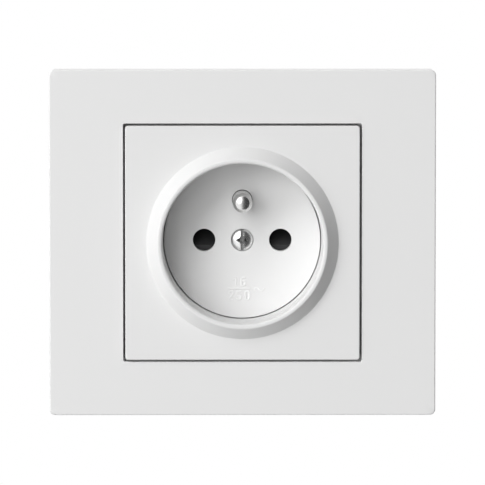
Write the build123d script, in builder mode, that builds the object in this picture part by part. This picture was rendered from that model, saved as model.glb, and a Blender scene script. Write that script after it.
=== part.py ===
"""Single wall socket: surround frame, centre plate with a plug recess, and the mechanism in the wall box.

X points right, Z up, and the front faces -Y. The wall is the plane Y = 0, and the origin lies midway between
the two box screws. A level is a distance in front of the wall, so what lies inside the wall box is negative.
"""

import os

from build123d import *

os.makedirs("parts", exist_ok=True)

# Plug system: two round contacts and an earth pin above them
contact_pitch = 19.0
contact_hole_radius = 2.8
plug_pin_radius = 2.4
plug_pin_length = 19.0
earth_offset = 10.0
earth_pin_radius = 2.4
earth_pin_reach = 14.0
earth_neck_step = 0.2
recess_radius = 19.7
recess_depth = 15.0

# Lip and centre plate
crest_width = 1.25
crest_inner_edge = 0.4
crest_outer_edge = 0.35
lip_slope_width = 2.8
lip_height = 3.8
plate_margin = 5.2
plate_proud = 0.8
plate_thickness = 2.0
plate_corner = 0.7
plate_edge = 0.3
skirt_wall = 1.3
tube_wall = 1.6
ledge_width = 2.1
ledge_thickness = 1.5

# Floor disc
disc_thickness = 2.7
disc_gap = 0.25
counterbore_radius = 2.8
counterbore_depth = 1.1
earth_hole_gap = 0.15

# Surround frame
frame_level = 8.5
side_border = 18.25
top_border = 13.25
opening_gap = 0.55
opening_corner = 0.5
opening_edge = 0.25
frame_corner = 1.4
frame_edge = 0.35
frame_wall = 2.0
collar_wall = 1.4
seat_width = 2.4
seat_thickness = 1.4
rib_thickness = 1.2
rib_spread = 30.0

# Support plate and its screws
box_screw_pitch = 60.0
box_slot_radius = 2.1
box_slot_length = 7.0
slot_margin = 2.0
support_thickness = 1.0
support_corner = 7.0
plate_screw_count = 2
plate_screw_angle = 90
plate_screw_radius = 1.1
plate_screw_length = 7.0
plate_head_radius = 2.0
plate_head_height = 1.5

# Base
collar_thickness = 4.6
body_step = 1.6
body_flat_depth = 2.2
floor_web = 1.2
chamber_mouth_gap = 0.35
core_wall = 1.8
core_depth = 12.0
rear_recess = 1.5

# Shutter and its spring
shutter_thickness = 4.4
shutter_cover = 0.3
shutter_drop = 1.0
shutter_corner = 1.6
shutter_bar = 3.0
shutter_bar_half = 8.0
ramp_foot = 1.5
ramp_toe = 0.8
post_radius = 3.5
spring_radius = 1.6
spring_wire = 0.2
spring_turns = 5
spring_runs = 8
wire_sides = 6
spring_seat_depth = 1.8
spring_wall = 0.8

# Cover screw and its bush
cover_screw_radius = 1.5
cover_screw_length = 10.0
cover_head_radius = 2.7
cover_head_height = 1.9
cover_slot_width = 0.75
cover_slot_depth = 1.0
bush_wall = 0.9
bush_length = 9.0

# Contacts, earth parts and terminals
contact_width = 7.0
leaf_thickness = 0.7
contact_grip = 0.2
contact_flare = 0.5
contact_throat = 3.0
tab_width = 8.0
tab_thickness = 0.9
tab_lip = 4.4
terminal_drop = 14.0
earth_terminal_rise = 7.5
terminal_screw_radius = 1.75
terminal_head_radius = 3.1
terminal_head_height = 2.0
terminal_slot_width = 0.9
terminal_slot_depth = 0.9
clamp_side = 7.6
clamp_thickness = 1.2
clamp_corner = 0.8
wire_gap = 1.5
earth_neck_depth = 1.7
earth_spigot_radius = 1.9
earth_rivet_radius = 2.7
earth_rivet_height = 0.8
earth_tip_radius = 1.6
earth_tip_bevel = 0.9

# Clearances
slide_gap = 0.3
seat_gap = 0.2
fit_gap = 0.3
thread_gap = 0.05

# Levels in front of the wall
plate_face = frame_level + plate_proud
crest_level = plate_face + lip_height
floor_level = crest_level - recess_depth
disc_back = floor_level - disc_thickness
ledge_back = disc_back - ledge_thickness
shoulder_level = ledge_back - seat_gap
seat_back = support_thickness + plate_head_height + fit_gap
seat_level = seat_back + seat_thickness
shutter_front = disc_back - slide_gap
shutter_back = shutter_front - shutter_thickness
pocket_floor = shutter_back - slide_gap
chamber_front = pocket_floor - floor_web
tab_level = floor_level - plug_pin_length - fit_gap
tab_back = tab_level - tab_thickness
clamp_front = tab_back - wire_gap
clamp_back = clamp_front - clamp_thickness
terminal_head_back = clamp_back - terminal_head_height
rear_level = terminal_head_back - rear_recess
head_seat = floor_level - counterbore_depth
bush_front = disc_back - seat_gap
bush_back = bush_front - bush_length
neck_back = disc_back - earth_neck_depth
base_collar_back = -plate_screw_length - floor_web

# Sizes across the wall
contact_x = contact_pitch / 2
crest_radius = recess_radius + crest_width
lip_foot_radius = crest_radius + lip_slope_width
plate_side = 2 * (lip_foot_radius + plate_margin)
tube_radius = recess_radius + tube_wall
ledge_radius = recess_radius - ledge_width
disc_radius = recess_radius - disc_gap
platform_radius = ledge_radius - fit_gap
collar_bore = tube_radius + fit_gap
base_radius = collar_bore + collar_thickness
body_radius = base_radius - body_step
body_flat = body_radius - body_flat_depth
opening_side = plate_side + 2 * opening_gap
window_side = opening_side - 2 * seat_width
collar_side = opening_side + 2 * collar_wall
frame_width = opening_side + 2 * side_border
frame_height = opening_side + 2 * top_border
support_side = box_screw_pitch + box_slot_length + 2 * slot_margin
plate_screw_circle = collar_bore + plate_head_radius + fit_gap
bush_radius = cover_screw_radius + thread_gap + bush_wall
earth_neck_radius = earth_pin_radius - earth_neck_step

# Shutter outline, closed, measured up from the contact line
flag_outer = contact_x + contact_hole_radius + shutter_cover
flag_top = contact_hole_radius + shutter_cover
flag_bottom = -contact_hole_radius - shutter_drop
shutter_travel = flag_top + contact_hole_radius + shutter_cover
notch_half = post_radius + fit_gap
bar_top = -notch_half
bar_bottom = bar_top - shutter_bar
spring_top = bar_bottom + spring_seat_depth
spring_foot = -(platform_radius - spring_wall)
spring_slot_half = spring_radius + spring_wire + fit_gap
spring_level = (shutter_front + shutter_back) / 2

# Terminal places: left and right below the contacts, earth above its pin
earth_terminal_z = earth_offset + earth_terminal_rise
terminals = {
    "left": (-contact_x, -terminal_drop),
    "right": (contact_x, -terminal_drop),
    "earth": (0, earth_terminal_z),
}
root_half = plug_pin_radius + contact_grip
mouth_half = plug_pin_radius + contact_flare
leaf_half = mouth_half + leaf_thickness
chamber_half_width = contact_width / 2 + fit_gap
chamber_half_height = leaf_half + fit_gap
tab_bottom = -terminal_drop - tab_lip
terminal_pocket_width = tab_width + 2 * fit_gap
earth_pocket_bottom = earth_offset - tab_width / 2 - fit_gap

# Sketch planes: radius against level, about the socket axis and about the earth pin
section = Plane(origin=(0, 0, 0), x_dir=(1, 0, 0), z_dir=(0, 0, -1))
earth_section = Plane(origin=(0, 0, earth_offset), x_dir=(1, 0, 0), z_dir=(0, 0, -1))
earth_axis = Axis((0, 0, earth_offset), (0, 1, 0))


# Surround frame: a shallow shell on the wall, with a collar and a ledge round its opening
with BuildPart() as surround_frame:
    with BuildSketch(Plane.XZ):
        RectangleRounded(frame_width, frame_height, frame_corner)
    extrude(amount=frame_level)
    with BuildSketch(Plane.XZ):
        Rectangle(frame_width - 2 * frame_wall, frame_height - 2 * frame_wall)
        Rectangle(collar_side, collar_side, mode=Mode.SUBTRACT)
    extrude(amount=frame_level - frame_wall, mode=Mode.SUBTRACT)
    with BuildSketch(Plane.XZ):
        Rectangle(collar_side, collar_side)
    extrude(amount=seat_back, mode=Mode.SUBTRACT)
    with BuildSketch(Plane.XZ):
        Rectangle(window_side, window_side)
    extrude(amount=frame_level, mode=Mode.SUBTRACT)
    with BuildSketch(Plane.XZ.offset(frame_level)):
        RectangleRounded(opening_side, opening_side, opening_corner)
    extrude(amount=seat_level - frame_level, mode=Mode.SUBTRACT)
    with BuildSketch(Plane.XZ.offset(seat_back)):
        with GridLocations(rib_spread, opening_side + collar_wall + top_border, 2, 2):
            Rectangle(rib_thickness, top_border - collar_wall)
        with GridLocations(opening_side + collar_wall + side_border, rib_spread, 2, 2):
            Rectangle(side_border - collar_wall, rib_thickness)
    extrude(amount=frame_level - frame_wall - seat_back)
    chamfer(surround_frame.faces().sort_by(Axis.Y)[0].outer_wire().edges(), frame_edge)
    chamfer(surround_frame.faces().sort_by(Axis.Y)[0].inner_wires()[0].edges(), opening_edge)
surround_frame.part.label = "surround_frame"
export_step(surround_frame.part, "parts/surround_frame.step")


# Centre plate: a skirted square plate, with the conical lip and the recess tube in one moulding
with BuildPart() as centre_plate:
    with BuildSketch(Plane.XZ.offset(seat_level)):
        RectangleRounded(plate_side, plate_side, plate_corner)
    extrude(amount=plate_face - seat_level)
    chamfer(centre_plate.faces().sort_by(Axis.Y)[0].edges(), plate_edge)
    with BuildSketch(Plane.XZ.offset(seat_level)):
        Rectangle(plate_side - 2 * skirt_wall, plate_side - 2 * skirt_wall)
    extrude(amount=plate_face - plate_thickness - seat_level, mode=Mode.SUBTRACT)
    with BuildSketch(Plane.XZ.offset(plate_face)):
        Circle(tube_radius)
    extrude(amount=-plate_thickness, mode=Mode.SUBTRACT)
    with BuildSketch(section) as lip_profile:
        with BuildLine():
            Polyline(
                (ledge_radius, disc_back),
                (recess_radius, disc_back),
                (recess_radius, crest_level),
                (crest_radius, crest_level),
                (lip_foot_radius, plate_face),
                (lip_foot_radius + plate_thickness, plate_face),
                (lip_foot_radius, plate_face - plate_thickness),
                (tube_radius, plate_face - plate_thickness),
                (tube_radius, ledge_back),
                (ledge_radius, ledge_back),
                close=True,
            )
        make_face()
        chamfer(lip_profile.vertices().group_by(Axis.Y)[-1].sort_by(Axis.X)[-1], crest_outer_edge)
        chamfer(lip_profile.vertices().group_by(Axis.Y)[-1].sort_by(Axis.X)[0], crest_inner_edge)
    revolve(axis=Axis.Y)
centre_plate.part.label = "centre_plate"
export_step(centre_plate.part, "parts/centre_plate.step")


# Floor disc: the separate floor of the recess, clamped on the tube's ledge and the base's platform
with BuildPart() as floor_disc:
    with BuildSketch(Plane.XZ.offset(disc_back)):
        Circle(disc_radius)
    extrude(amount=disc_thickness)
    with Locations(Plane.XZ.offset(floor_level)):
        CounterBoreHole(cover_screw_radius + fit_gap, counterbore_radius, counterbore_depth)
        with GridLocations(contact_pitch, 0, 2, 1):
            Hole(contact_hole_radius)
        with Locations((0, earth_offset)):
            Hole(earth_pin_radius + earth_hole_gap)
floor_disc.part.label = "floor_disc"
export_step(floor_disc.part, "parts/floor_disc.step")


# Cover screw: pan head with a slot
with BuildPart() as cover_screw:
    with BuildSketch(Plane.XZ.offset(head_seat)):
        Circle(cover_head_radius)
    extrude(amount=cover_head_height)
    with BuildSketch(Plane.XZ.offset(head_seat + cover_head_height)):
        Rectangle(cover_slot_width, 2 * cover_head_radius)
    extrude(amount=-cover_slot_depth, mode=Mode.SUBTRACT)
    with BuildSketch(Plane.XZ.offset(head_seat)):
        Circle(cover_screw_radius)
    extrude(amount=-cover_screw_length)
cover_screw.part.label = "cover_screw"
export_step(cover_screw.part, "parts/cover_screw.step")


# Bush: brass sleeve in the base's post, which takes the cover screw
with BuildPart() as screw_bush:
    with BuildSketch(Plane.XZ.offset(bush_front)):
        Circle(bush_radius)
        Circle(cover_screw_radius + thread_gap, mode=Mode.SUBTRACT)
    extrude(amount=-bush_length)
screw_bush.part.label = "screw_bush"
export_step(screw_bush.part, "parts/screw_bush.step")


# Support plate: flat steel with slots for the box screws on both centre lines
with BuildPart() as support_plate:
    with BuildSketch(Plane.XZ) as support_outline:
        Rectangle(support_side, support_side)
        chamfer(support_outline.vertices(), support_corner)
        Circle(collar_bore, mode=Mode.SUBTRACT)
        with GridLocations(box_screw_pitch, 0, 2, 1):
            SlotOverall(box_slot_length, 2 * box_slot_radius, mode=Mode.SUBTRACT)
        with GridLocations(0, box_screw_pitch, 1, 2):
            SlotOverall(box_slot_length, 2 * box_slot_radius, rotation=90, mode=Mode.SUBTRACT)
        with PolarLocations(plate_screw_circle, plate_screw_count, start_angle=plate_screw_angle):
            Circle(plate_screw_radius + thread_gap, mode=Mode.SUBTRACT)
    extrude(amount=support_thickness)
support_plate.part.label = "support_plate"
export_step(support_plate.part, "parts/support_plate.step")


# Plate screws: two pan heads through the support plate into the base's collar
with BuildPart() as plate_screws:
    with BuildSketch(Plane.XZ.offset(support_thickness)):
        with PolarLocations(plate_screw_circle, plate_screw_count, start_angle=plate_screw_angle):
            Circle(plate_head_radius)
    extrude(amount=plate_head_height)
    with BuildSketch(Plane.XZ.offset(support_thickness)):
        with PolarLocations(plate_screw_circle, plate_screw_count, start_angle=plate_screw_angle):
            Circle(plate_screw_radius)
    extrude(amount=-plate_screw_length)
plate_screws.part.label = "plate_screws"
export_step(plate_screws.part, "parts/plate_screws.step")


# Base: a collar for the recess tube on a flat-sided body with contact chambers and terminal pockets
with BuildPart() as socket_base:
    with BuildSketch(Plane.XZ):
        Circle(body_radius)
        Rectangle(2 * body_flat, 2 * body_radius, mode=Mode.INTERSECT)
    extrude(amount=rear_level)
    with BuildSketch(Plane.XZ):
        Circle(base_radius)
    extrude(amount=base_collar_back)
    # the tube's bore, and the platform that carries the floor disc
    with BuildSketch(Plane.XZ):
        Circle(collar_bore)
    extrude(amount=disc_back, mode=Mode.SUBTRACT)
    with BuildSketch(Plane.XZ):
        Circle(collar_bore)
        Circle(platform_radius, mode=Mode.SUBTRACT)
    extrude(amount=shoulder_level, mode=Mode.SUBTRACT)
    # the shutter's pocket round the screw post, with the spring's slot below
    with BuildSketch(Plane.XZ.offset(disc_back)):
        with Locations((0, (flag_top + flag_bottom - shutter_travel) / 2)):
            Rectangle(2 * (flag_outer + slide_gap), flag_top - flag_bottom + shutter_travel + 2 * slide_gap)
        with Locations((0, bar_bottom - shutter_travel - slide_gap)):
            Rectangle(
                2 * (shutter_bar_half + slide_gap),
                shutter_travel - bar_bottom,
                align=(Align.CENTER, Align.MIN),
            )
        with Locations((0, spring_foot)):
            Rectangle(2 * spring_slot_half, -spring_foot, align=(Align.CENTER, Align.MIN))
        Circle(post_radius, mode=Mode.SUBTRACT)
    extrude(amount=pocket_floor - disc_back, mode=Mode.SUBTRACT)
    with BuildSketch(Plane.XZ.offset(disc_back)):
        Circle(bush_radius + thread_gap)
    extrude(amount=bush_back - seat_gap - disc_back, mode=Mode.SUBTRACT)
    # contact chambers, open to the back, with a round hole at the front
    with BuildSketch(Plane.XZ.offset(pocket_floor)):
        with GridLocations(contact_pitch, 0, 2, 1):
            Circle(contact_hole_radius + chamber_mouth_gap)
    extrude(amount=-floor_web, mode=Mode.SUBTRACT)
    with BuildSketch(Plane.XZ.offset(chamber_front)):
        with GridLocations(contact_pitch, 0, 2, 1):
            Rectangle(2 * chamber_half_width, 2 * chamber_half_height)
    extrude(amount=tab_level - chamber_front, mode=Mode.SUBTRACT)
    # terminal pockets, open to the back and to the wires' side
    with BuildSketch(Plane.XZ.offset(tab_level)):
        with Locations((-contact_x, chamber_half_height), (contact_x, chamber_half_height)):
            Rectangle(
                terminal_pocket_width,
                base_radius + chamber_half_height,
                align=(Align.CENTER, Align.MAX),
            )
        with Locations((0, earth_pocket_bottom)):
            Rectangle(terminal_pocket_width, base_radius, align=(Align.CENTER, Align.MIN))
    extrude(amount=rear_level - tab_level, mode=Mode.SUBTRACT)
    # moulding cores in the back, which leave even walls round the pockets
    with BuildSketch(Plane.XZ.offset(rear_level)):
        Circle(body_radius - core_wall)
        Rectangle(2 * (body_flat - core_wall), 2 * body_radius, mode=Mode.INTERSECT)
        with GridLocations(contact_pitch, 0, 2, 1):
            with Locations((0, chamber_half_height + core_wall)):
                Rectangle(
                    terminal_pocket_width + 2 * core_wall,
                    2 * base_radius,
                    align=(Align.CENTER, Align.MAX),
                    mode=Mode.SUBTRACT,
                )
        with Locations((0, earth_pocket_bottom - core_wall)):
            Rectangle(
                terminal_pocket_width + 2 * core_wall,
                base_radius,
                align=(Align.CENTER, Align.MIN),
                mode=Mode.SUBTRACT,
            )
    extrude(amount=core_depth, mode=Mode.SUBTRACT)
    # the stepped hole for the earth pin's neck and spigot
    with Locations(Plane.XZ.offset(disc_back)):
        with Locations((0, earth_offset)):
            CounterBoreHole(
                earth_spigot_radius + thread_gap,
                earth_neck_radius + thread_gap,
                earth_neck_depth,
            )
    # pilot holes for the plate screws
    with BuildSketch(Plane.XZ):
        with PolarLocations(plate_screw_circle, plate_screw_count, start_angle=plate_screw_angle):
            Circle(plate_screw_radius + thread_gap)
    extrude(amount=-plate_screw_length, mode=Mode.SUBTRACT)
socket_base.part.label = "socket_base"
export_step(socket_base.part, "parts/socket_base.step")


# Shutter: a fork round the screw post, with a ramp behind each contact hole
with BuildPart() as shutter:
    with BuildSketch(Plane.XZ.offset(shutter_back)):
        with Locations((0, (flag_top + flag_bottom) / 2)):
            RectangleRounded(2 * flag_outer, flag_top - flag_bottom, shutter_corner)
        with Locations((0, bar_bottom)):
            Rectangle(2 * shutter_bar_half, -bar_bottom, align=(Align.CENTER, Align.MIN))
        with Locations((0, bar_top)):
            Rectangle(
                2 * notch_half,
                flag_top - bar_top,
                align=(Align.CENTER, Align.MIN),
                mode=Mode.SUBTRACT,
            )
        with Locations((0, bar_bottom)):
            Rectangle(
                2 * spring_slot_half,
                spring_seat_depth,
                align=(Align.CENTER, Align.MIN),
                mode=Mode.SUBTRACT,
            )
    extrude(amount=shutter_thickness)
    with BuildSketch(Plane(origin=(0, 0, 0), x_dir=(0, -1, 0), z_dir=(-1, 0, 0))):
        with BuildLine():
            Polyline(
                (shutter_front, -ramp_foot),
                (shutter_back + ramp_toe, flag_top),
                (shutter_front, flag_top),
                close=True,
            )
        make_face()
    extrude(amount=flag_outer, both=True, mode=Mode.SUBTRACT)
shutter.part.label = "shutter"
export_step(shutter.part, "parts/shutter.step")


# Shutter spring: a coil of short straight runs between the shutter's bar and the pocket's end
spring_height = spring_top - spring_foot - 2 * (spring_wire + thread_gap)
coil_steps = spring_turns * spring_runs
coil_points = []
for step in range(coil_steps + 1):
    coil_point = Vector(spring_radius, 0, spring_height * step / coil_steps)
    coil_point = coil_point.rotate(Axis.Z, 360 * step / spring_runs)
    coil_points.append(coil_point + (0, -spring_level, spring_foot + spring_wire + thread_gap))
with BuildPart() as shutter_spring:
    with BuildLine() as spring_path:
        Polyline(*coil_points)
    with BuildSketch(Plane(origin=spring_path.line @ 0, z_dir=spring_path.line % 0)):
        RegularPolygon(spring_wire, wire_sides)
    sweep(transition=Transition.RIGHT)
shutter_spring.part.label = "shutter_spring"
export_step(shutter_spring.part, "parts/shutter_spring.step")


# Contacts: two leaves that grip a plug pin, on a strip with the terminal tab
for name, x in (("left_contact", -contact_x), ("right_contact", contact_x)):
    with BuildPart() as contact:
        with BuildSketch(Plane(origin=(x, 0, 0), x_dir=(0, -1, 0), z_dir=(-1, 0, 0))):
            with BuildLine():
                Polyline(
                    (chamber_front - fit_gap, mouth_half),
                    (chamber_front - fit_gap - contact_throat, plug_pin_radius - contact_grip),
                    (tab_level, root_half),
                    (tab_level, 0),
                    (tab_back, 0),
                    (tab_back, root_half + leaf_thickness),
                    (chamber_front - fit_gap - contact_throat, root_half),
                    (chamber_front - fit_gap, leaf_half),
                    close=True,
                )
            make_face()
            mirror(about=Plane.XZ)
        extrude(amount=contact_width / 2, both=True)
        with BuildSketch(Plane.XZ.offset(tab_back)):
            with Locations((x, tab_bottom)):
                Rectangle(tab_width, leaf_half - tab_bottom, align=(Align.CENTER, Align.MIN))
            with Locations((x, -terminal_drop)):
                Circle(terminal_screw_radius + thread_gap, mode=Mode.SUBTRACT)
        extrude(amount=tab_thickness)
    contact.part.label = name
    export_step(contact.part, f"parts/{name}.step")


# Earth pin: turned, with a bevelled tip, a neck in the base and a riveted end
earth_tip = floor_level + earth_pin_reach
with BuildPart() as earth_pin:
    with BuildSketch(earth_section):
        with BuildLine():
            Polyline(
                (0, earth_tip),
                (earth_tip_radius, earth_tip),
                (earth_pin_radius, earth_tip - earth_tip_bevel),
                (earth_pin_radius, floor_level),
                (earth_neck_radius, floor_level),
                (earth_neck_radius, neck_back),
                (earth_spigot_radius, neck_back),
                (earth_spigot_radius, tab_back),
                (earth_rivet_radius, tab_back),
                (earth_rivet_radius, tab_back - earth_rivet_height),
                (0, tab_back - earth_rivet_height),
                close=True,
            )
        make_face()
    revolve(axis=earth_axis)
earth_pin.part.label = "earth_pin"
export_step(earth_pin.part, "parts/earth_pin.step")


# Earth strap: flat brass from the pin's riveted end to the earth terminal
with BuildPart() as earth_strap:
    with BuildSketch(Plane.XZ.offset(tab_back)):
        with Locations((0, earth_offset - tab_width / 2)):
            Rectangle(
                tab_width,
                earth_terminal_rise + tab_lip + tab_width / 2,
                align=(Align.CENTER, Align.MIN),
            )
        with Locations((0, earth_offset)):
            Circle(earth_spigot_radius + thread_gap, mode=Mode.SUBTRACT)
        with Locations((0, earth_terminal_z)):
            Circle(terminal_screw_radius + thread_gap, mode=Mode.SUBTRACT)
    extrude(amount=tab_thickness)
earth_strap.part.label = "earth_strap"
export_step(earth_strap.part, "parts/earth_strap.step")


# Terminals: a clamp plate under the head of a screw that is driven from the back
for side, place in terminals.items():
    with BuildPart() as clamp_plate:
        with BuildSketch(Plane.XZ.offset(clamp_back)) as clamp_outline:
            with Locations(place):
                Rectangle(clamp_side, clamp_side)
                chamfer(clamp_outline.vertices(), clamp_corner)
                Circle(terminal_screw_radius + thread_gap, mode=Mode.SUBTRACT)
        extrude(amount=clamp_thickness)
    clamp_plate.part.label = f"{side}_clamp_plate"
    export_step(clamp_plate.part, f"parts/{side}_clamp_plate.step")

    with BuildPart() as terminal_screw:
        with BuildSketch(Plane.XZ.offset(terminal_head_back)):
            with Locations(place):
                Circle(terminal_head_radius)
        extrude(amount=terminal_head_height)
        with BuildSketch(Plane.XZ.offset(terminal_head_back)):
            with Locations(place):
                Rectangle(2 * terminal_head_radius, terminal_slot_width)
        extrude(amount=terminal_slot_depth, mode=Mode.SUBTRACT)
        with BuildSketch(Plane.XZ.offset(clamp_back)):
            with Locations(place):
                Circle(terminal_screw_radius)
        extrude(amount=tab_level - seat_gap - clamp_back)
    terminal_screw.part.label = f"{side}_terminal_screw"
    export_step(terminal_screw.part, f"parts/{side}_terminal_screw.step")
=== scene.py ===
"""Looks of a recessed wall socket: white mouldings in front, a dark base with brass and zinc parts behind.

Blender works in metres. The socket's sizes below are in millimetres, and a level is a distance in front of
the wall. X is right, Z is up, and the room lies towards -Y.
"""

import math

import bmesh
import bpy
from mathutils import Matrix, Vector


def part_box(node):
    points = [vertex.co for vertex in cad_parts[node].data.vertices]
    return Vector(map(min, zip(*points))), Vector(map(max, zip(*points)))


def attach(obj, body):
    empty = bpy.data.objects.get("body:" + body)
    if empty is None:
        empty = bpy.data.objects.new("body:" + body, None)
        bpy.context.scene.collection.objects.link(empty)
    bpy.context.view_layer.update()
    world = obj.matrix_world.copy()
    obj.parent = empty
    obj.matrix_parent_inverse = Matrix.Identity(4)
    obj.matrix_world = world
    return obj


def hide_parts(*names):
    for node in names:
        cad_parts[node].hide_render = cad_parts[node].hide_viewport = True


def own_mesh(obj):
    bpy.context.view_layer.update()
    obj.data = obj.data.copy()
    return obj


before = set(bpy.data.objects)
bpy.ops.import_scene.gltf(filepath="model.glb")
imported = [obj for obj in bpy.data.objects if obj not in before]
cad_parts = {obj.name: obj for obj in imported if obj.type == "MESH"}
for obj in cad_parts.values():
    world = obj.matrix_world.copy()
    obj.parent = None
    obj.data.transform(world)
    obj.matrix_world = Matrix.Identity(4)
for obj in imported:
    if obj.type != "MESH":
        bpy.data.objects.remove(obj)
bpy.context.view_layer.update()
scene = bpy.context.scene
mm = 0.001


# Node helpers, for shaders and Geometry Nodes

def connect(tree, node, inputs):
    """Sets or links a node's inputs by socket name or number."""
    for name, value in inputs.items():
        if isinstance(value, bpy.types.NodeSocket):
            tree.links.new(value, node.inputs[name])
        else:
            node.inputs[name].default_value = value


def add(tree, kind, inputs=None, **settings):
    """Adds a node, sets its settings by name, and then its inputs."""
    node = tree.nodes.new(kind)
    for name, value in settings.items():
        setattr(node, name, value)
    connect(tree, node, inputs or {})
    return node


def reckon(tree, operation, *values):
    """The result of a Math node on numbers or sockets."""
    return add(tree, "ShaderNodeMath", dict(enumerate(values)), operation=operation).outputs[0]


def spread(tree, value, low, high, first=0.0, last=1.0):
    """Maps a value that runs from first to last to the range from low to high."""
    return add(tree, "ShaderNodeMapRange", {
        "Value": value, "From Min": first, "From Max": last, "To Min": low, "To Max": high,
    }).outputs["Result"]


def own_place(tree):
    """A point's place on its own piece."""
    return add(tree, "ShaderNodeTexCoord").outputs["Object"]


def noise(tree, place, scale, detail, roughness=0.5, distortion=0.0):
    """A soft noise between 0 and 1."""
    return add(tree, "ShaderNodeTexNoise", {
        "Vector": place, "Scale": scale, "Detail": detail, "Roughness": roughness, "Distortion": distortion,
    }).outputs["Fac"]


def mixed(tree, factor, low, high):
    """A colour between two, each three numbers or a socket, by a factor that changes over the surface."""
    first, last = (c if isinstance(c, bpy.types.NodeSocket) else (*c, 1.0) for c in (low, high))
    mix = add(tree, "ShaderNodeMix", {"Factor": factor, "A": first, "B": last}, data_type="RGBA")
    return mix.outputs["Result"]


# Skins: the shader groups that plastics and metals share

def new_group(name, inputs, outputs):
    """Starts a shader group with named number inputs and outputs, and returns it with its two end nodes."""
    group = bpy.data.node_groups.new(name, "ShaderNodeTree")
    for label, value in inputs.items():
        socket = group.interface.new_socket(label, in_out="INPUT", socket_type="NodeSocketFloat")
        socket.default_value = value
    for label in outputs:
        group.interface.new_socket(label, in_out="OUTPUT", socket_type="NodeSocketFloat")
    return group, group.nodes.new("NodeGroupInput"), group.nodes.new("NodeGroupOutput")


def make_moulded_skin():
    """Moulded plastic: a fine eroded grain, slow flow marks and a few rubbed places."""
    flow_scale, rub_scale = 34.0, 120.0
    grain_share, flow_share = 0.75, 0.25
    least_rub, most_rub = -0.5, 1.5
    group, start, end = new_group(
        "moulded skin",
        {"Grain Scale": 7000.0, "Grain Depth": 0.3, "Flow Depth": 0.5},
        ("Tone", "Rub", "Height"),
    )
    place = own_place(group)
    grain = noise(group, place, start.outputs["Grain Scale"], detail=3.0)
    flow = noise(group, place, flow_scale, detail=2.0, distortion=0.6)
    rub = noise(group, place, rub_scale, detail=5.0, roughness=0.65)
    fine = reckon(group, "MULTIPLY", grain, start.outputs["Grain Depth"])
    slow = reckon(group, "MULTIPLY", flow, start.outputs["Flow Depth"])
    trace = reckon(group, "MULTIPLY", flow, flow_share)
    connect(group, end, {
        "Tone": reckon(group, "MULTIPLY_ADD", grain, grain_share, trace),
        "Rub": spread(group, rub, least_rub, most_rub),
        "Height": reckon(group, "ADD", fine, slow),
    })
    return group


def make_plated_skin():
    """Plated or rolled metal: fine drawn lines one way, cloudy plating and small handling scratches."""
    scratch_scale, scratch_width = 420.0, 0.03
    group, start, end = new_group(
        "plated skin",
        {"Line Scale": 3000.0, "Line Stretch": 0.06, "Cloud Scale": 160.0},
        ("Cloud", "Lines", "Scratch"),
    )
    place = own_place(group)
    axes = add(group, "ShaderNodeSeparateXYZ", {0: place}).outputs
    pulled = reckon(group, "MULTIPLY", axes["X"], start.outputs["Line Stretch"])
    drawn = add(group, "ShaderNodeCombineXYZ", {"X": pulled, "Y": axes["Y"], "Z": axes["Z"]}).outputs[0]
    web = add(group, "ShaderNodeTexVoronoi", {
        "Vector": place, "Scale": scratch_scale,
    }, feature="DISTANCE_TO_EDGE")
    connect(group, end, {
        "Cloud": noise(group, place, start.outputs["Cloud Scale"], detail=4.0),
        "Lines": noise(group, drawn, start.outputs["Line Scale"], detail=3.0),
        "Scratch": spread(group, web.outputs["Distance"], 1.0, 0.0, last=scratch_width),
    })
    return group


moulded_skin = make_moulded_skin()
plated_skin = make_plated_skin()


# Materials

grain_height, line_height = 0.02 * mm, 0.01 * mm
coat_roughness = 0.12
scratch_dulling = 0.25


def white(level):
    """A white with a trace less blue."""
    return (level, level, level - 0.002)


def grey(level):
    """A plain grey."""
    return (level, level, level)


def new_material(name):
    """Starts a node material and returns it with its tree and its Principled BSDF."""
    made = bpy.data.materials.new(name)
    made.use_nodes = True
    return made, made.node_tree, made.node_tree.nodes["Principled BSDF"]


def raised(tree, strength, distance, height):
    """A bumped normal."""
    return add(tree, "ShaderNodeBump", {
        "Strength": strength, "Distance": distance, "Height": height,
    }).outputs["Normal"]


def plastic(name, low, high, rough, grain, flow, bump, coat=0.0):
    """Moulded plastic: two close tones, roughness from rubbed places, bump from the mould's grain."""
    made, tree, shader = new_material(name)
    skin = add(tree, "ShaderNodeGroup", {
        "Grain Depth": grain, "Flow Depth": flow,
    }, node_tree=moulded_skin).outputs
    connect(tree, shader, {
        "Base Color": mixed(tree, skin["Tone"], low, high),
        "Roughness": spread(tree, skin["Rub"], *rough),
        "Normal": raised(tree, bump, grain_height, skin["Height"]),
        "Coat Weight": coat,
        "Coat Roughness": coat_roughness,
    })
    return made


def metal(name, low, high, rough, line_scale, stretch, cloud_scale, bump, drive_shade=None):
    """Plated or rolled metal: cloudy tone, roughness from drawn lines and scratches.

    Drive shade is painted shade: the darker tone that a screw's drive is painted towards its floor. The
    screws mark it with their recess attribute.
    """
    made, tree, shader = new_material(name)
    skin = add(tree, "ShaderNodeGroup", {
        "Line Scale": line_scale, "Line Stretch": stretch, "Cloud Scale": cloud_scale,
    }, node_tree=plated_skin).outputs
    tone = mixed(tree, skin["Cloud"], low, high)
    if drive_shade:
        # the drive is painted darker the deeper a point lies in it: painted shade
        drive = add(tree, "ShaderNodeAttribute", attribute_name="recess").outputs["Fac"]
        tone = mixed(tree, drive, tone, grey(drive_shade))
    worn = reckon(tree, "MULTIPLY_ADD", skin["Scratch"], scratch_dulling, skin["Lines"])
    connect(tree, shader, {
        "Base Color": tone,
        "Roughness": spread(tree, worn, *rough),
        "Normal": raised(tree, bump, line_height, skin["Lines"]),
        "Metallic": 1.0,
    })
    return made


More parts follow.
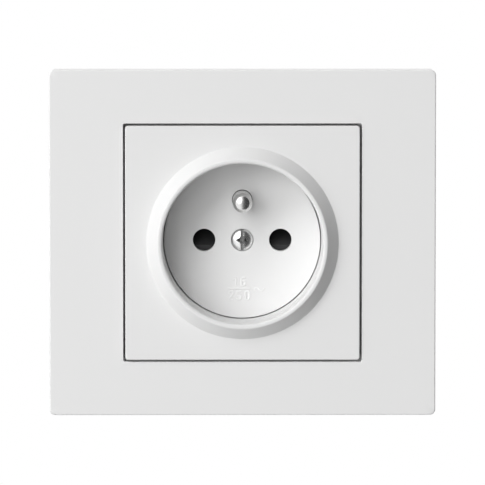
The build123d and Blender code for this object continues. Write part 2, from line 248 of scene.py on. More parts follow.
frame_white = plastic("satin white frame", white(0.8), white(0.815), rough=(0.4, 0.46),
                      grain=0.4, flow=0.03, bump=0.25)
plate_white = plastic("smooth white plate", white(0.795), white(0.81), rough=(0.4, 0.44),
                      grain=0.2, flow=0.02, bump=0.06)
disc_white = plastic("gloss white floor", white(0.795), white(0.81), rough=(0.29, 0.32),
                     grain=0.25, flow=0.02, bump=0.08, coat=0.1)
# The mark is the floor disc's plastic in a lighter white: a painted highlight for the light that its raised
# strokes catch; its lower roughness is its own polish.
mark_white_painted_highlight = plastic("polished white mark, painted lighter", white(0.865), white(0.875), rough=(0.2, 0.24),
                     grain=0.1, flow=0.02, bump=0.1, coat=0.1)
base_grey = plastic("moulded grey base", (0.032, 0.033, 0.036), (0.05, 0.051, 0.054), rough=(0.42, 0.6),
                    grain=0.6, flow=0.5, bump=0.4)
shutter_black = plastic("black shutter", (0.02, 0.02, 0.021), (0.03, 0.03, 0.031), rough=(0.34, 0.5),
                        grain=0.4, flow=0.5, bump=0.3)
zinc_sheet = metal("zinc plated sheet", (0.56, 0.57, 0.59), grey(0.66), rough=(0.28, 0.5),
                   line_scale=2400.0, stretch=0.05, cloud_scale=120.0, bump=0.25)
# the screws' drives are painted a darker grey towards their floors: painted shade
zinc_screw = metal("zinc plated screw", (0.88, 0.883, 0.886), (0.94, 0.94, 0.935), rough=(0.2, 0.27),
                   line_scale=5200.0, stretch=0.6, cloud_scale=300.0, bump=0.03, drive_shade=0.45)
rolled_brass = metal("rolled brass", (0.62, 0.44, 0.17), (0.76, 0.57, 0.26), rough=(0.2, 0.42),
                     line_scale=2600.0, stretch=0.05, cloud_scale=140.0, bump=0.2)
bright_nickel = metal("bright nickel", (0.76, 0.757, 0.75), (0.82, 0.817, 0.81), rough=(0.24, 0.28),
                      line_scale=4200.0, stretch=0.8, cloud_scale=220.0, bump=0.01)
spring_steel = metal("drawn spring wire", grey(0.46), (0.58, 0.58, 0.57), rough=(0.2, 0.38),
                     line_scale=5200.0, stretch=0.3, cloud_scale=400.0, bump=0.15)


# CAD nodes that keep their shape: material, joined triangles and a fine moulded edge

edge_segments = 3
moulded_edge_angle = math.radians(28)
flat_angle = math.radians(0.5)
same_point = 0.002 * mm


def even_shading(piece):
    """Shades flat faces flat and lets their rounded edges turn the light."""
    shade = piece.modifiers.new("even shading", "WEIGHTED_NORMAL")
    shade.keep_sharp = True


def add_rounding(piece, name, width, angle):
    """Adds a bevel that rounds the edges sharper than an angle."""
    rounding = piece.modifiers.new(name, "BEVEL")
    rounding.width = width * mm
    rounding.segments = edge_segments
    rounding.limit_method = "ANGLE"
    rounding.angle_limit = angle
    return rounding


def round_edges(piece, width):
    """Rounds a piece's sharp edges and evens its shading."""
    add_rounding(piece, "moulded edge", width, moulded_edge_angle)
    even_shading(piece)


def soften(piece, width):
    """Joins a node's loose triangles and rounds its sharp edges, with modifiers only."""
    weld = piece.modifiers.new("join triangles", "WELD")
    weld.merge_threshold = same_point
    flat = piece.modifiers.new("join flat faces", "DECIMATE")
    flat.decimate_type = "DISSOLVE"
    flat.angle_limit = flat_angle
    round_edges(piece, width)


finishes = {
    "floor_disc": (disc_white, 0.05),
    "screw_bush": (rolled_brass, 0.08),
    "support_plate": (zinc_sheet, 0.1),
    "socket_base": (base_grey, 0.2),
    "shutter": (shutter_black, 0.15),
    "left_contact": (rolled_brass, 0.1),
    "right_contact": (rolled_brass, 0.1),
    "earth_strap": (rolled_brass, 0.1),
    "left_clamp_plate": (zinc_sheet, 0.15),
    "right_clamp_plate": (zinc_sheet, 0.15),
    "earth_clamp_plate": (zinc_sheet, 0.15),
}
for name, (finish, width) in finishes.items():
    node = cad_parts[name]
    node.data.materials.clear()
    node.data.materials.append(finish)
    for polygon in node.data.polygons:
        polygon.use_smooth = True
    soften(node, width)


# Mesh helpers

def to_mesh(name, shape):
    """Turns a bmesh into a plain mesh and frees it."""
    mesh = bpy.data.meshes.new(name)
    shape.to_mesh(mesh)
    shape.free()
    return mesh


def put(name, data):
    """Makes an object and links it to the scene."""
    made = bpy.data.objects.new(name, data)
    scene.collection.objects.link(made)
    return made


def evaluated(holder):
    """The plain mesh that an object's modifiers give."""
    graph = bpy.context.evaluated_depsgraph_get()
    return bpy.data.meshes.new_from_object(holder.evaluated_get(graph))


def finish_piece(name, mesh, material, slot, *nodes):
    """Makes a mesh a piece that rides on the socket and stands for its nodes."""
    mesh.materials.clear()
    mesh.materials.append(material)
    piece = put(name, mesh)
    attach(piece, "socket")
    if nodes:
        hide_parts(*nodes)
    return piece


# Sections and bands: a piece is a stack of rounded outlines joined into walls

def softened(corners, steps=5):
    """A section line with rounded corners. Each corner is (across, level, radius)."""
    line = []
    for i, (across, level, radius) in enumerate(corners):
        here = Vector((across, level))
        if radius == 0:
            line.append(here)
            continue
        before = (Vector(corners[i - 1][:2]) - here).normalized()
        after = (Vector(corners[i + 1][:2]) - here).normalized()
        half = before.angle(after) / 2
        middle = here + (before + after).normalized() * (radius / math.sin(half))
        first = here + before * (radius / math.tan(half)) - middle
        turn = first.angle_signed(here + after * (radius / math.tan(half)) - middle)
        for step in range(steps + 1):
            angle = -turn * step / steps
            line.append(middle + Matrix.Rotation(angle, 2) @ first)
    return line


def domed(top, arcs, steps=8):
    """The section of a dome from its pole outwards. An arc is (radius, lean in degrees where it ends)."""
    line = [(0.0, top)]
    start = 0.0
    for radius, lean in arcs:
        foot, level = line[-1]
        end = math.radians(lean)
        for step in range(1, steps + 1):
            angle = start + (end - start) * step / steps
            across = foot + radius * (math.sin(angle) - math.sin(start))
            line.append((across, level - radius * (math.cos(start) - math.cos(angle))))
        start = end
    return line


def turned(line):
    """Outlines of a turned section."""
    return [(across, across, across, level) for across, level in line]


def squared(line, half_x, half_z, corner, least_corner=0.05):
    """Outlines of a section that runs round a rectangle: across is measured from its edge, outwards."""
    return [
        (half_x + across, half_z + across, max(corner + across, least_corner), level)
        for across, level in line
    ]


def outline(half_x, half_z, corner, side_steps, bend_steps):
    """Points round a rounded rectangle, or round a circle where the corner is as large as the halves."""
    quarter = []
    if corner >= min(half_x, half_z):
        steps = 2 * side_steps + bend_steps
        for step in range(steps + 1):
            angle = math.pi / 2 * step / steps
            quarter.append((half_x * math.cos(angle), half_z * math.sin(angle)))
    else:
        flat_x, flat_z = half_x - corner, half_z - corner
        for step in range(side_steps):
            quarter.append((half_x, flat_z * step / side_steps))
        for step in range(bend_steps):
            angle = math.pi / 2 * step / bend_steps
            quarter.append((flat_x + corner * math.cos(angle), flat_z + corner * math.sin(angle)))
        for step in range(side_steps + 1):
            quarter.append((flat_x * (1 - step / side_steps), half_z))
    back = quarter[:0:-1]
    return (
        quarter[:-1]
        + [(-x, z) for x, z in back]
        + [(-x, -z) for x, z in quarter[:-1]]
        + [(x, -z) for x, z in back]
    )


def band(loops, closed, centre=(0, 0), side_steps=12, bend_steps=8):
    """A mesh of walls between outlines (half_x, half_z, corner, level); an outline of no size is a pole."""
    shape = bmesh.new()
    rings = []
    for half_x, half_z, corner, level in loops:
        points = [(0, 0)] if half_x == 0 else outline(half_x, half_z, corner, side_steps, bend_steps)
        places = [((x + centre[0]) * mm, -level * mm, (z + centre[1]) * mm) for x, z in points]
        rings.append([shape.verts.new(place) for place in places])
    for ring, following in zip(rings, rings[1:] + (rings[:1] if closed else [])):
        for i in range(max(len(ring), len(following))):
            ends = (ring, i), (ring, i + 1), (following, i + 1), (following, i)
            corners = [loop[k % len(loop)] for loop, k in ends]
            shape.faces.new(list(dict.fromkeys(corners)))
    bmesh.ops.recalc_face_normals(shape, faces=shape.faces)
    mesh = to_mesh("band", shape)
    for polygon in mesh.polygons:
        polygon.use_smooth = True
    return mesh


# Surround frame: a shell with a rounded rim, and an opening with a ledge

frame_half_x, frame_half_z, frame_corner = 47.75, 42.75, 1.4
frame_level, frame_wall = 8.5, 2.0
face_back = frame_level - frame_wall
opening_half, opening_corner = 29.5, 0.5
collar_half, window_half = 30.9, 27.1
collar_out, window_out = collar_half - opening_half, window_half - opening_half
seat_level, seat_back = 4.2, 2.8
rim_edge, rim_foot_edge, seat_edge, opening_edge = 0.35, 0.2, 0.15, 0.14

# the flat faces between the two sections start at these distances from the rim and from the opening
rim_face, opening_face, opening_face_back = 3.0, 1.2, 1.6

rim = softened([
    (-rim_face, frame_level, 0), (0, frame_level, rim_edge), (0, 0, rim_foot_edge),
    (-frame_wall, 0, rim_foot_edge), (-frame_wall, face_back, 0),
])
collar = softened([
    (opening_face_back, face_back, 0), (collar_out, face_back, 0), (collar_out, seat_back, seat_edge),
    (window_out, seat_back, seat_edge), (window_out, seat_level, seat_edge), (0, seat_level, 0),
    (0, frame_level, opening_edge), (opening_face, frame_level, 0),
])
frame_loops = squared(rim, frame_half_x, frame_half_z, frame_corner)
frame_loops += squared(collar, opening_half, opening_half, opening_corner)
frame_mesh = band(frame_loops, True)
even_shading(finish_piece(
    "surround_frame_moulding", frame_mesh, frame_white, "frame_plastic", "surround_frame",
))


# Centre plate: a square skirted plate, with the conical lip and the recess tube

plate_half, plate_corner, skirt_wall = 28.95, 0.7, 1.3
plate_face, plate_thickness, crest_level = 9.3, 2.0, 13.1
plate_back = plate_face - plate_thickness
recess_radius, recess_draft, crest_radius, lip_foot_radius = 19.7, 0.1, 20.95, 23.75
tube_radius, ledge_radius = 21.3, 17.6
disc_back, ledge_back = -4.6, -6.1
inner_crest, outer_crest, lip_foot_edge = 0.65, 0.5, 0.3
plate_edge, skirt_edge, tube_root, tube_edge = 0.22, 0.15, 0.4, 0.2

# the flat faces between the sections start at these distances from the lip's foot and from the plate's rim
lip_face, plate_rim_face = 1.0, 0.8

lip = softened([
    (ledge_radius, disc_back, 0), (recess_radius, disc_back, 0),
    (recess_radius + recess_draft, crest_level, inner_crest), (crest_radius, crest_level, outer_crest),
    (lip_foot_radius, plate_face, lip_foot_edge), (lip_foot_radius + lip_face, plate_face, 0),
], steps=8)
skirt = softened([
    (-plate_rim_face, plate_face, 0), (0, plate_face, plate_edge), (0, seat_level, skirt_edge),
    (-skirt_wall, seat_level, skirt_edge), (-skirt_wall, plate_back, 0),
])
tube = softened([
    (lip_foot_radius, plate_back, 0), (tube_radius, plate_back, tube_root),
    (tube_radius, ledge_back, tube_edge), (ledge_radius, ledge_back, tube_edge),
    (ledge_radius, disc_back - tube_edge, 0),
])
plate_loops = turned(lip) + squared(skirt, plate_half, plate_half, plate_corner) + turned(tube)
plate_mesh = band(plate_loops, True, side_steps=20)
even_shading(finish_piece(
    "centre_plate_moulding", plate_mesh, plate_white, "plate_plastic", "centre_plate",
))


# Earth pin: turned, with a domed tip on a bevelled shoulder, a collar in the base and a riveted end

floor_level, earth_offset = -1.9, 10.0
earth_tip, earth_radius = 12.1, 2.4
tip_radius, tip_lean = 3.3, 31
shoulder_step, shoulder_drop, shoulder_edge = 0.03, 0.8, 0.15
sunk_radius, pin_seat, neck_radius = earth_radius - 0.2, -6.3, 1.9
rivet_seat, rivet_radius, rivet_rim, rivet_flat = -22.1, 2.7, 2.5, 1.6
rivet_bend, rivet_height, rivet_edge = 0.6, 0.8, 0.2

dome = domed(earth_tip, [(tip_radius, tip_lean)])
dome_radius, dome_foot = dome[-1]
shank = softened([
    (dome_radius + shoulder_step, dome_foot - shoulder_step, 0),
    (earth_radius, dome_foot - shoulder_drop, shoulder_edge), (earth_radius, floor_level, 0),
    (sunk_radius, floor_level, 0), (sunk_radius, pin_seat, 0), (neck_radius, pin_seat, 0),
    (neck_radius, rivet_seat, 0), (rivet_radius, rivet_seat, 0),
    (rivet_rim, rivet_seat - rivet_bend, rivet_edge), (rivet_flat, rivet_seat - rivet_height, 0),
    (0, rivet_seat - rivet_height, 0),
], steps=3)
pin_mesh = band(turned(dome + [tuple(point) for point in shank]), False, (0, earth_offset))
even_shading(finish_piece("earth_pin_turned", pin_mesh, bright_nickel, "nickel", "earth_pin"))


# Geometry Nodes helpers

socket_kinds = {
    float: "NodeSocketFloat",
    int: "NodeSocketInt",
    tuple: "NodeSocketVector",
    type(None): "NodeSocketMaterial",
}
upright_turn = (math.pi / 2, 0, 0)


def new_tree(name, inputs):
    """Starts a geometry tree: inputs maps a label to its value, and a material has none yet."""
    tree = bpy.data.node_groups.new(name, "GeometryNodeTree")
    tree.interface.new_socket("Geometry", in_out="INPUT", socket_type="NodeSocketGeometry")
    for label, value in inputs.items():
        socket = tree.interface.new_socket(label, in_out="INPUT", socket_type=socket_kinds[type(value)])
        if value is not None:
            socket.default_value = value
    tree.interface.new_socket("Geometry", in_out="OUTPUT", socket_type="NodeSocketGeometry")
    return tree, tree.nodes.new("NodeGroupInput").outputs, tree.nodes.new("NodeGroupOutput")


def end_tree(tree, end, geometry, material):
    """Realizes the instances, sets the material and ends the tree."""
    real = add(tree, "GeometryNodeRealizeInstances", {"Geometry": geometry})
    smooth = add(tree, "GeometryNodeSetShadeSmooth", {"Geometry": real.outputs[0]})
    painted = add(tree, "GeometryNodeSetMaterial", {"Geometry": smooth.outputs[0], "Material": material})
    tree.links.new(painted.outputs[0], end.inputs["Geometry"])


def swept(tree, path, profile):
    """A profile swept along a path, with closed ends."""
    return add(tree, "GeometryNodeCurveToMesh", {
        "Curve": path, "Profile Curve": profile, "Fill Caps": True,
    }).outputs[0]


def wound(tree, radius, turns, height, wire_radius, turn_steps, wire_steps):
    """A wire wound round the Z axis."""
    path = add(tree, "GeometryNodeCurveSpiral", {
        "Resolution": turn_steps, "Rotations": turns, "Height": height,
        "Start Radius": radius, "End Radius": radius,
    })
    wire = add(tree, "GeometryNodeCurvePrimitiveCircle", {"Resolution": wire_steps, "Radius": wire_radius})
    return swept(tree, path.outputs[0], wire.outputs[0])


def moved(tree, geometry, place, turn=(0, 0, 0)):
    """A shape that is turned and moved."""
    return add(tree, "GeometryNodeTransform", {
        "Geometry": geometry, "Rotation": turn, "Translation": place,
    }).outputs[0]


def grown(tree, values, base=None):
    """Runs a geometry tree on a base mesh with its inputs set, and returns the result as a plain mesh."""
    holder = put("grown", base or bpy.data.meshes.new("grown"))
    maker = holder.modifiers.new("tree", "NODES")
    maker.node_group = tree
    for item in tree.interface.items_tree:
        if item.in_out == "INPUT" and item.name in values:
            maker[item.identifier] = values[item.name]
    mesh = evaluated(holder)
    bpy.data.objects.remove(holder)
    return mesh


def make_coil_tree():
    """A wire coil that stands up along Z on a given foot."""
    tree, start, end = new_tree("coil", {
        "Coil Radius": 1.6 * mm, "Wire Radius": 0.2 * mm, "Height": 11.0 * mm, "Turns": 5.0,
        "Foot": (0, 0, 0), "Material": None,
    })
    coil = wound(tree, start["Coil Radius"], start["Turns"], start["Height"], start["Wire Radius"],
                 turn_steps=28, wire_steps=10)
    end_tree(tree, end, moved(tree, coil, start["Foot"]), start["Material"])
    return tree


def make_screw_tree():
    """Screws in a row: a head and shank made beforehand, with a thread wound round the shank."""
    tree, start, end = new_tree("threaded screws", {
        "Shank Radius": 1.5 * mm, "Thread Height": 0.2 * mm, "Thread Pitch": 0.6 * mm,
        "Thread Length": 5.0 * mm, "First Place": (0, 0, 0), "Next Place": (0, 0, 0), "Count": 1,
        "Turn": (0, 0, 0), "Material": None,
    })
    turns = reckon(tree, "DIVIDE", start["Thread Length"], start["Thread Pitch"])
    down = reckon(tree, "MULTIPLY", start["Thread Length"], -1.0)
    thread = wound(tree, start["Shank Radius"], turns, down, start["Thread Height"],
                   turn_steps=24, wire_steps=4)
    screw = add(tree, "GeometryNodeJoinGeometry")
    tree.links.new(start["Geometry"], screw.inputs[0])
    tree.links.new(thread, screw.inputs[0])
    places = add(tree, "GeometryNodeMeshLine", {
        "Count": start["Count"], "Start Location": start["First Place"], "Offset": start["Next Place"],
    })
    turn = add(tree, "FunctionNodeEulerToRotation", {0: start["Turn"]})
    row = add(tree, "GeometryNodeInstanceOnPoints", {
        "Points": places.outputs[0], "Instance": screw.outputs[0], "Rotation": turn.outputs[0],
    })
    end_tree(tree, end, row.outputs[0], start["Material"])
    return tree


def make_mark_tree():
    """A raised moulded mark: a flat-topped bead along each stroke, half sunk in the face that carries it."""
    bend_steps, edge_steps, edge_share = 6, 3, 0.45
    tree, start, end = new_tree("raised mark", {
        "Stroke Width": 0.33 * mm, "Stroke Height": 0.12 * mm, "Face": 0.0, "Material": None,
    })
    strokes = add(tree, "GeometryNodeMeshToCurve", {0: start["Geometry"]})
    bend = add(tree, "GeometryNodeInputNamedAttribute", {"Name": "bend"}, data_type="FLOAT")
    rounded = add(tree, "GeometryNodeFilletCurve", {
        "Curve": strokes.outputs[0], "Radius": bend.outputs[0], "Limit Radius": True, "Count": bend_steps,
    }, mode="POLY")
    level = add(tree, "GeometryNodeSetCurveNormal", {0: rounded.outputs[0]}, mode="Z_UP")
    section = add(tree, "GeometryNodeCurvePrimitiveQuadrilateral", {
        "Width": start["Stroke Width"], "Height": reckon(tree, "MULTIPLY", start["Stroke Height"], 2.0),
    })
    edge = reckon(tree, "MULTIPLY", start["Stroke Height"], edge_share)
    eased = add(tree, "GeometryNodeFilletCurve", {
        "Curve": section.outputs[0], "Radius": edge, "Count": edge_steps,
    }, mode="POLY")
    beads = swept(tree, level.outputs[0], eased.outputs[0])
    place = add(tree, "ShaderNodeCombineXYZ", {"Y": start["Face"]})
    end_tree(tree, end, moved(tree, beads, place.outputs[0], upright_turn), start["Material"])
    return tree


def make_rib_tree():
    """Moulded ribs: one bar at each corner of a rectangle that lies along the wall."""
    tree, start, end = new_tree("moulded ribs", {
        "Spread X": 30.0 * mm, "Spread Z": 70.0 * mm, "Rib Size": (1.2 * mm, 3.7 * mm, 11.0 * mm),
        "Middle": (0, 0, 0), "Material": None,
    })
    grid = add(tree, "GeometryNodeMeshGrid", {
        "Size X": start["Spread X"], "Size Y": start["Spread Z"], "Vertices X": 2, "Vertices Y": 2,
    })
    corners = moved(tree, grid.outputs[0], start["Middle"], upright_turn)
    bar = add(tree, "GeometryNodeMeshCube", {"Size": start["Rib Size"]})
    row = add(tree, "GeometryNodeInstanceOnPoints", {"Points": corners, "Instance": bar.outputs[0]})
    end_tree(tree, end, row.outputs[0], start["Material"])
    return tree


coil_tree = make_coil_tree()
screw_tree = make_screw_tree()
mark_tree = make_mark_tree()
rib_tree = make_rib_tree()


# Frame ribs, between the collar and the rim, behind the face

rib_width, rib_spread, rib_edge = 1.2, 30.0, 0.25
rib_level, rib_depth = (seat_back + face_back) / 2, face_back - seat_back
inner_half_x, inner_half_z = frame_half_x - frame_wall, frame_half_z - frame_wall
for name, spread_x, spread_z, wide, high in (
    ("upright_ribs", rib_spread, collar_half + inner_half_z, rib_width, inner_half_z - collar_half),
    ("level_ribs", collar_half + inner_half_x, rib_spread, inner_half_x - collar_half, rib_width),
):
    ribs = grown(rib_tree, {
        "Spread X": spread_x * mm, "Spread Z": spread_z * mm, "Middle": (0, -rib_level * mm, 0),
        "Rib Size": Vector((wide, rib_depth, high)) * mm, "Material": frame_white,
    })
    round_edges(finish_piece(name, ribs, frame_white, "frame_plastic", "surround_frame"), rib_edge)


# Shutter spring: a wound coil as long as the spring node

coil_radius, wire_radius, coil_turns = 1.6 * mm, 0.2 * mm, 6.0
low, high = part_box("shutter_spring")
middle = (Vector(low) + Vector(high)) / 2
spring_length = high[2] - low[2]
spring_mesh = grown(coil_tree, {
    "Coil Radius": coil_radius, "Wire Radius": wire_radius, "Height": spring_length - 2 * wire_radius,
    "Turns": coil_turns, "Foot": (middle.x, middle.y, low[2] + wire_radius), "Material": spring_steel,
})
spring = finish_piece("shutter_spring_coil", spring_mesh, spring_steel, "spring_steel", "shutter_spring")
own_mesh(spring)


# Screws: a carved pan head, a plain shank and a thread

drive_edge_angle = math.radians(35)
sliver = 0.03 * mm


def screw_blank(head_radius, head_height, arcs, shank_radius, shank_length):
    """A domed head on a shank that points down the Z axis, with the head's seat at the origin.

    Returns its mesh and the section of its dome.
    """
    seat_bevel, tip_bevel = 0.08, 0.4
    crown = domed(head_height, arcs)
    brim = (head_radius - crown[-1][0]) / (1 - math.sin(math.radians(arcs[-1][1])))
    dome = domed(head_height, [*arcs, (brim, 90)], steps=10)
    line = dome + [
        (head_radius, seat_bevel), (head_radius - seat_bevel, 0), (shank_radius, 0),
        (shank_radius, -shank_length + tip_bevel), (shank_radius - tip_bevel, -shank_length),
        (0, -shank_length),
    ]
    mesh = band(turned(line), False, side_steps=8, bend_steps=8)
    mesh.transform(Matrix.Rotation(-math.pi / 2, 4, "X"))
    return mesh, dome


def pocket(corners, share, depth, top):
    """A cutter that narrows to a share of its outline at the pocket's floor and stands clear of the head."""
    clear = 1.0
    shape = bmesh.new()
    mouth, above, floor = (
        [shape.verts.new((x * share_x * mm, y * share_y * mm, level * mm)) for x, y in corners]
        for share_x, share_y, level in ((1, 1, top), (1, 1, top + clear), (*share, top - depth))
    )
    for low, high in ((floor, mouth), (mouth, above)):
        for i in range(len(corners)):
            shape.faces.new((low[i - 1], low[i], high[i], high[i - 1]))
    shape.faces.new(above)
    shape.faces.new(floor[::-1])
    return to_mesh("cut", shape)


def carved(blank, top, cuts, broken_edge):
    """Cuts tapered pockets out of a screw's head: first the slot, whose edges may be broken, then the cross.

    A cut is (outline at the top, its share at the floor across X and Y, depth).
    """
    holder = put("blank", blank)
    helpers = [holder]
    for i, (corners, share, depth) in enumerate(cuts):
        cutter = put("cut", pocket(corners, share, depth, top))
        helpers.append(cutter)
        bite = holder.modifiers.new("cut", "BOOLEAN")
        bite.object = cutter
        bite.solver = "EXACT"
        if broken_edge and i == 0:
            slivers = holder.modifiers.new("join slivers", "WELD")
            slivers.merge_threshold = sliver
            rounding = add_rounding(holder, "broken edge", broken_edge, drive_edge_angle)
            rounding.use_clamp_overlap = False
            rounding.loop_slide = False
    mesh = evaluated(holder)
    shape = bmesh.new()
    shape.from_mesh(mesh)
    bmesh.ops.dissolve_degenerate(shape, dist=same_point, edges=shape.edges)
    shape.to_mesh(mesh)
    shape.free()
    mesh.set_sharp_from_angle(angle=drive_edge_angle)
    for helper in helpers:
        bpy.data.objects.remove(helper)
    return mesh


def mark_recess(mesh, dome):
    """Marks the drive's painted shade: how deep each point lies under the head's dome, which is given as
    (radius, height).
    """
    least_height, shade_from, shade_over = 0.1, 0.03, 0.25
    marks = mesh.attributes.new("recess", "FLOAT", "POINT")
    for i, vertex in enumerate(mesh.vertices):
        across, height = math.hypot(vertex.co.x, vertex.co.y) / mm, vertex.co.z / mm
        for (near, upper), (far, lower) in zip(dome, dome[1:]):
            if near <= across <= far and height > least_height:
                skin = upper + (lower - upper) * (across - near) / (far - near)
                marks.data[i].value = min(max((skin - height - shade_from) / shade_over, 0), 1)
                break


def add_screws(name, node, blank, cuts, thread, places, turn, broken_edge=0.0):
    """Makes the screws that stand for a node, from a blank's sizes, its cuts, its thread and their places."""
    mesh, dome = screw_blank(**blank)
    mesh = carved(mesh, blank["head_height"], cuts, broken_edge)
    mark_recess(mesh, dome)
    first, last = Vector(places[0]), Vector(places[-1])
    mesh = grown(screw_tree, {
        "Shank Radius": (blank["shank_radius"] - thread["height"]) * mm,
        "Thread Height": thread["height"] * mm, "Thread Pitch": thread["pitch"] * mm,
        "Thread Length": thread["length"] * mm,
        "First Place": first * mm, "Next Place": (last - first) * mm, "Count": len(places),
        "Turn": (math.radians(turn), 0, 0), "Material": zinc_screw,
    }, mesh)
    even_shading(finish_piece(name, mesh, zinc_screw, "screw_steel", node))


def oblong(half_x, half_y):
    """The outline of a straight slot, seen from the head's top."""
    return [(half_x, half_y), (-half_x, half_y), (-half_x, -half_y), (half_x, -half_y)]


def kite(half_x, half_y):
    """The outline of two pointed arms of a cross drive, seen from the head's top."""
    return [(half_x, 0), (0, half_y), (-half_x, 0), (0, -half_y)]


head_to_room, head_to_wall = 90, -90
counterbore_depth = 1.1
plate_screw_level, plate_screw_offset = 1.0, 23.9
clamp_plate_level = -24.8

add_screws(
    "cover_screw_pan", "cover_screw",
    dict(head_radius=2.62, head_height=2.05, arcs=[(5.15, 26.5), (1.2, 40)],
         shank_radius=1.5, shank_length=10.0),
    [
        (oblong(0.36, 3.0), (0.95, 1.0), 1.15),
        (kite(1.85, 0.95), (0.3, 0.4), 1.6),
        (kite(0.95, 1.85), (0.4, 0.3), 1.6),
    ],
    dict(pitch=0.5, height=0.12, length=9.5),
    [(0, counterbore_depth - floor_level, 0)], head_to_room, broken_edge=0.06,
)
add_screws(
    "plate_screws_pan", "plate_screws",
    dict(head_radius=2.0, head_height=1.5, arcs=[(6.0, 14)], shank_radius=1.1, shank_length=7.0),
    [(oblong(0.3, 3.0), (0.95, 1.0), 0.6)],
    dict(pitch=0.5, height=0.12, length=6.5),
    [(0, -plate_screw_level, -plate_screw_offset), (0, -plate_screw_level, plate_screw_offset)], head_to_room,
)
for side, x, z in (("left", -9.5, -14.0), ("right", 9.5, -14.0), ("earth", 0.0, 17.5)):
    add_screws(
        f"{side}_terminal_screw_pan", f"{side}_terminal_screw",
        dict(head_radius=3.1, head_height=2.0, arcs=[(9.0, 14)], shank_radius=1.75, shank_length=3.4),
        [(oblong(3.5, 0.45), (1.0, 0.95), 0.9), (kite(1.0, 2.0), (0.4, 0.3), 1.2)],
        dict(pitch=0.7, height=0.15, length=2.9),
        [(x, -clamp_plate_level, z)], head_to_wall,
    )


# Rating mark: plain raised numerals low on the recess floor

stroke_width, stroke_height = 0.46, 0.16

# a stroke is a run of corners (x, z, bend) about the numeral's middle, and a closed one ends where it starts
numerals = {
    "0": [(-0.48, 0.0, 0), (-0.48, 1.01, 0.44), (0.48, 1.01, 0.44), (0.48, -1.01, 0.44), (-0.48, -1.01, 0.44),
          (-0.48, 0.0, 0)],
    "1": [(-0.62, 0.36, 0), (0.24, 1.08, 0.2), (0.24, -1.09, 0)],
    "2": [(-0.48, 0.45, 0), (-0.48, 1.01, 0.44), (0.48, 1.01, 0.44), (0.48, 0.3, 0.35), (-0.52, -1.01, 0.25),
          (0.54, -1.01, 0)],
    "5": [(0.5, 1.01, 0), (-0.44, 1.01, 0.25), (-0.48, 0.2, 0.25), (0.48, 0.2, 0.44), (0.48, -1.01, 0.44),
          (-0.48, -1.01, 0.4), (-0.48, -0.56, 0)],
    "6": [(0.48, 1.01, 0), (-0.48, 1.01, 0.5), (-0.48, -1.01, 0.44), (0.48, -1.01, 0.44), (0.48, 0.2, 0.44),
          (-0.28, 0.2, 0)],
    "bar": [(-2.76, 0, 0), (2.76, 0, 0)],
    "wave": [(-1.3, -0.22, 0), (-0.68, 0.5, 0.5), (0.68, -0.5, 0.5), (1.3, 0.22, 0)],
}
upper_row, bar_row, wave_row, lower_row = -10.4, -12.1, -12.3, -13.86
mark_places = [
    ("1", -1.8, upper_row), ("6", 0.26, upper_row), ("bar", -0.81, bar_row),
    ("2", -2.82, lower_row), ("5", -0.80, lower_row), ("0", 1.28, lower_row), ("wave", 4.2, wave_row),
]


def stroke_lines():
    """The mark's strokes as plain edges, with each corner's bend as an attribute."""
    shape = bmesh.new()
    bend_layer = shape.verts.layers.float.new("bend")
    for key, x, z in mark_places:
        corners = numerals[key]
        closed = corners[0] == corners[-1]
        points = []
        for u, v, bend in corners[:-1] if closed else corners:
            point = shape.verts.new(((x + u) * mm, (z + v) * mm, 0))
            point[bend_layer] = bend * mm
            points.append(point)
        for first, second in zip(points, points[1:] + points[:1] if closed else points[1:]):
            shape.edges.new((first, second))
    return to_mesh("strokes", shape)


# the mark's lighter white is a painted highlight
mark = grown(mark_tree, {
    "Stroke Width": stroke_width * mm, "Stroke Height": stroke_height * mm, "Face": -floor_level * mm,
    "Material": mark_white_painted_highlight,
}, stroke_lines())
finish_piece("rating_mark", mark, mark_white_painted_highlight, "disc_plastic")


# Stage, in metres: a pale floor well below, a soft key from the upper left, a fill from the front, two small
# lights behind, a dark screen on the right for the metal to mirror, and a white surround

def make_floor(radius, drop):
    """A pale round floor, a drop below the socket's middle."""
    speck_scale = 34.0
    shape = bmesh.new()
    below = Matrix.Translation((0, 0, -drop))
    bmesh.ops.create_circle(shape, cap_ends=True, segments=96, radius=radius, matrix=below)
    mesh = to_mesh("floor", shape)
    made, tree, shader = new_material("pale floor")
    speck = noise(tree, own_place(tree), speck_scale, detail=3.0)
    connect(tree, shader, {"Base Color": mixed(tree, speck, grey(0.86), grey(0.9)), "Roughness": 0.8})
    mesh.materials.append(made)
    put("floor", mesh)


def make_surround(ambient):
    """A surround that is white to the camera and in reflections, and lights the socket at a lower level."""
    world = bpy.data.worlds.new("white surround")
    world.use_nodes = True
    tree = world.node_tree
    path = add(tree, "ShaderNodeLightPath").outputs
    seen = path["Is Camera Ray"]
    for ray in ("Is Glossy Ray", "Is Transmission Ray"):
        seen = reckon(tree, "MAXIMUM", seen, path[ray])
    connect(tree, tree.nodes["Background"], {
        "Color": (1.0, 1.0, 1.0, 1.0), "Strength": spread(tree, seen, ambient, 1.0),
    })
    scene.world = world


def add_soft_light(name, spin, lean, wide, deep, power, distance, mirrored=True, shape="RECTANGLE"):
    """A soft light that faces the socket.

    It stands at an angle round the socket's face (0 right, 90 up) and a lean off its axis. Its wide side lies
    across the lean and its deep side along it. One that isn't mirrored stays out of bright metal.
    """
    right, up = math.cos(math.radians(spin)), math.sin(math.radians(spin))
    ahead, aside = math.cos(math.radians(lean)), math.sin(math.radians(lean))
    away = Vector((right * aside, -ahead, up * aside))
    along = Vector((right * ahead, aside, up * ahead))
    lamp = bpy.data.lights.new(name, "AREA")
    lamp.shape = shape
    lamp.size = wide
    lamp.size_y = deep
    lamp.energy = power
    light = put(name, lamp)
    light.location = away * distance
    light.rotation_euler = Matrix((along.cross(away), along, away)).transposed().to_euler()
    light.visible_glossy = mirrored


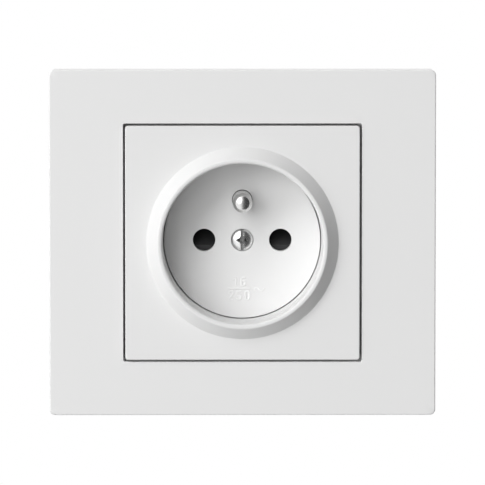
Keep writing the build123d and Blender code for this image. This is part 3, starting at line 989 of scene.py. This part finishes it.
def add_dark_screen(name, radius, height, turns, fade):
    """A curved felt screen round the front and one side, which bright metal mirrors as its dark part.

    It thins out towards its first edge, so that edge is soft in the metal.
    """
    steps, fade_power, nap_scale = 24, 3.0, 30.0
    shape = bmesh.new()
    columns = []
    for i in range(steps + 1):
        angle = math.radians(turns[0] + (turns[1] - turns[0]) * i / steps)
        x, y = radius * math.sin(angle), -radius * math.cos(angle)
        columns.append([shape.verts.new((x, y, z)) for z in height])
    for left, right in zip(columns, columns[1:]):
        shape.faces.new((left[0], right[0], right[1], left[1]))
    mesh = to_mesh(name, shape)
    made, tree, shader = new_material("dark felt")
    place = own_place(tree)
    nap = noise(tree, place, nap_scale, detail=2.0)
    axes = add(tree, "ShaderNodeSeparateXYZ", {0: place}).outputs
    turn = reckon(tree, "ARCTAN2", axes["X"], reckon(tree, "MULTIPLY", axes["Y"], -1.0))
    first = math.radians(turns[0])
    open_part = spread(tree, turn, 1.0, 0.0, first, first + math.radians(fade))
    thin = reckon(tree, "POWER", open_part, fade_power)
    connect(tree, shader, {
        "Base Color": mixed(tree, nap, grey(0.06), grey(0.075)),
        "Roughness": 0.9,
        "Alpha": reckon(tree, "SUBTRACT", 1.0, thin),
    })
    mesh.materials.append(made)
    screen = put(name, mesh)
    screen.visible_camera = False


make_floor(radius=0.9, drop=1.8)
make_surround(ambient=0.573)
add_soft_light("key_bank", spin=138, lean=38, wide=12.6, deep=3.6, power=484.0, distance=9.0, mirrored=False)
add_soft_light("key_glow", spin=138, lean=36, wide=9.0, deep=9.0, power=252.0, distance=9.0, shape="ELLIPSE")
add_soft_light("front_fill", spin=90, lean=0, wide=4.5, deep=4.5, power=157.0, distance=7.2, mirrored=False)
add_soft_light("back_right", spin=10, lean=130, wide=1.0, deep=1.0, power=32.0, distance=3.0)
add_soft_light("back_left", spin=130, lean=125, wide=1.0, deep=1.0, power=22.0, distance=3.0)
add_dark_screen("dark_screen", radius=3.0, height=(-7.0, 7.0), turns=(-14, 115), fade=44)


# Camera: a long lens, a little above the middle of the frame

aim_rise = 0.1
frame_front = Vector((0.0, -frame_level * mm, aim_rise * mm))
camera_distance = 1.2
camera_rise = math.radians(4.1)
camera_turn = math.radians(-0.4)
seen_width = 119.8 * mm

lens = bpy.data.cameras.new("camera")
lens.sensor_width = 36.0
lens.lens = lens.sensor_width * camera_distance / seen_width
lens.clip_end = 20.0
camera = put("camera", lens)
outward = Vector((
    math.sin(camera_turn) * math.cos(camera_rise),
    -math.cos(camera_turn) * math.cos(camera_rise),
    math.sin(camera_rise),
))
camera.location = frame_front + outward * camera_distance
camera.rotation_euler = outward.to_track_quat("Z", "Y").to_euler()
scene.camera = camera

scene.view_settings.view_transform = "Standard"
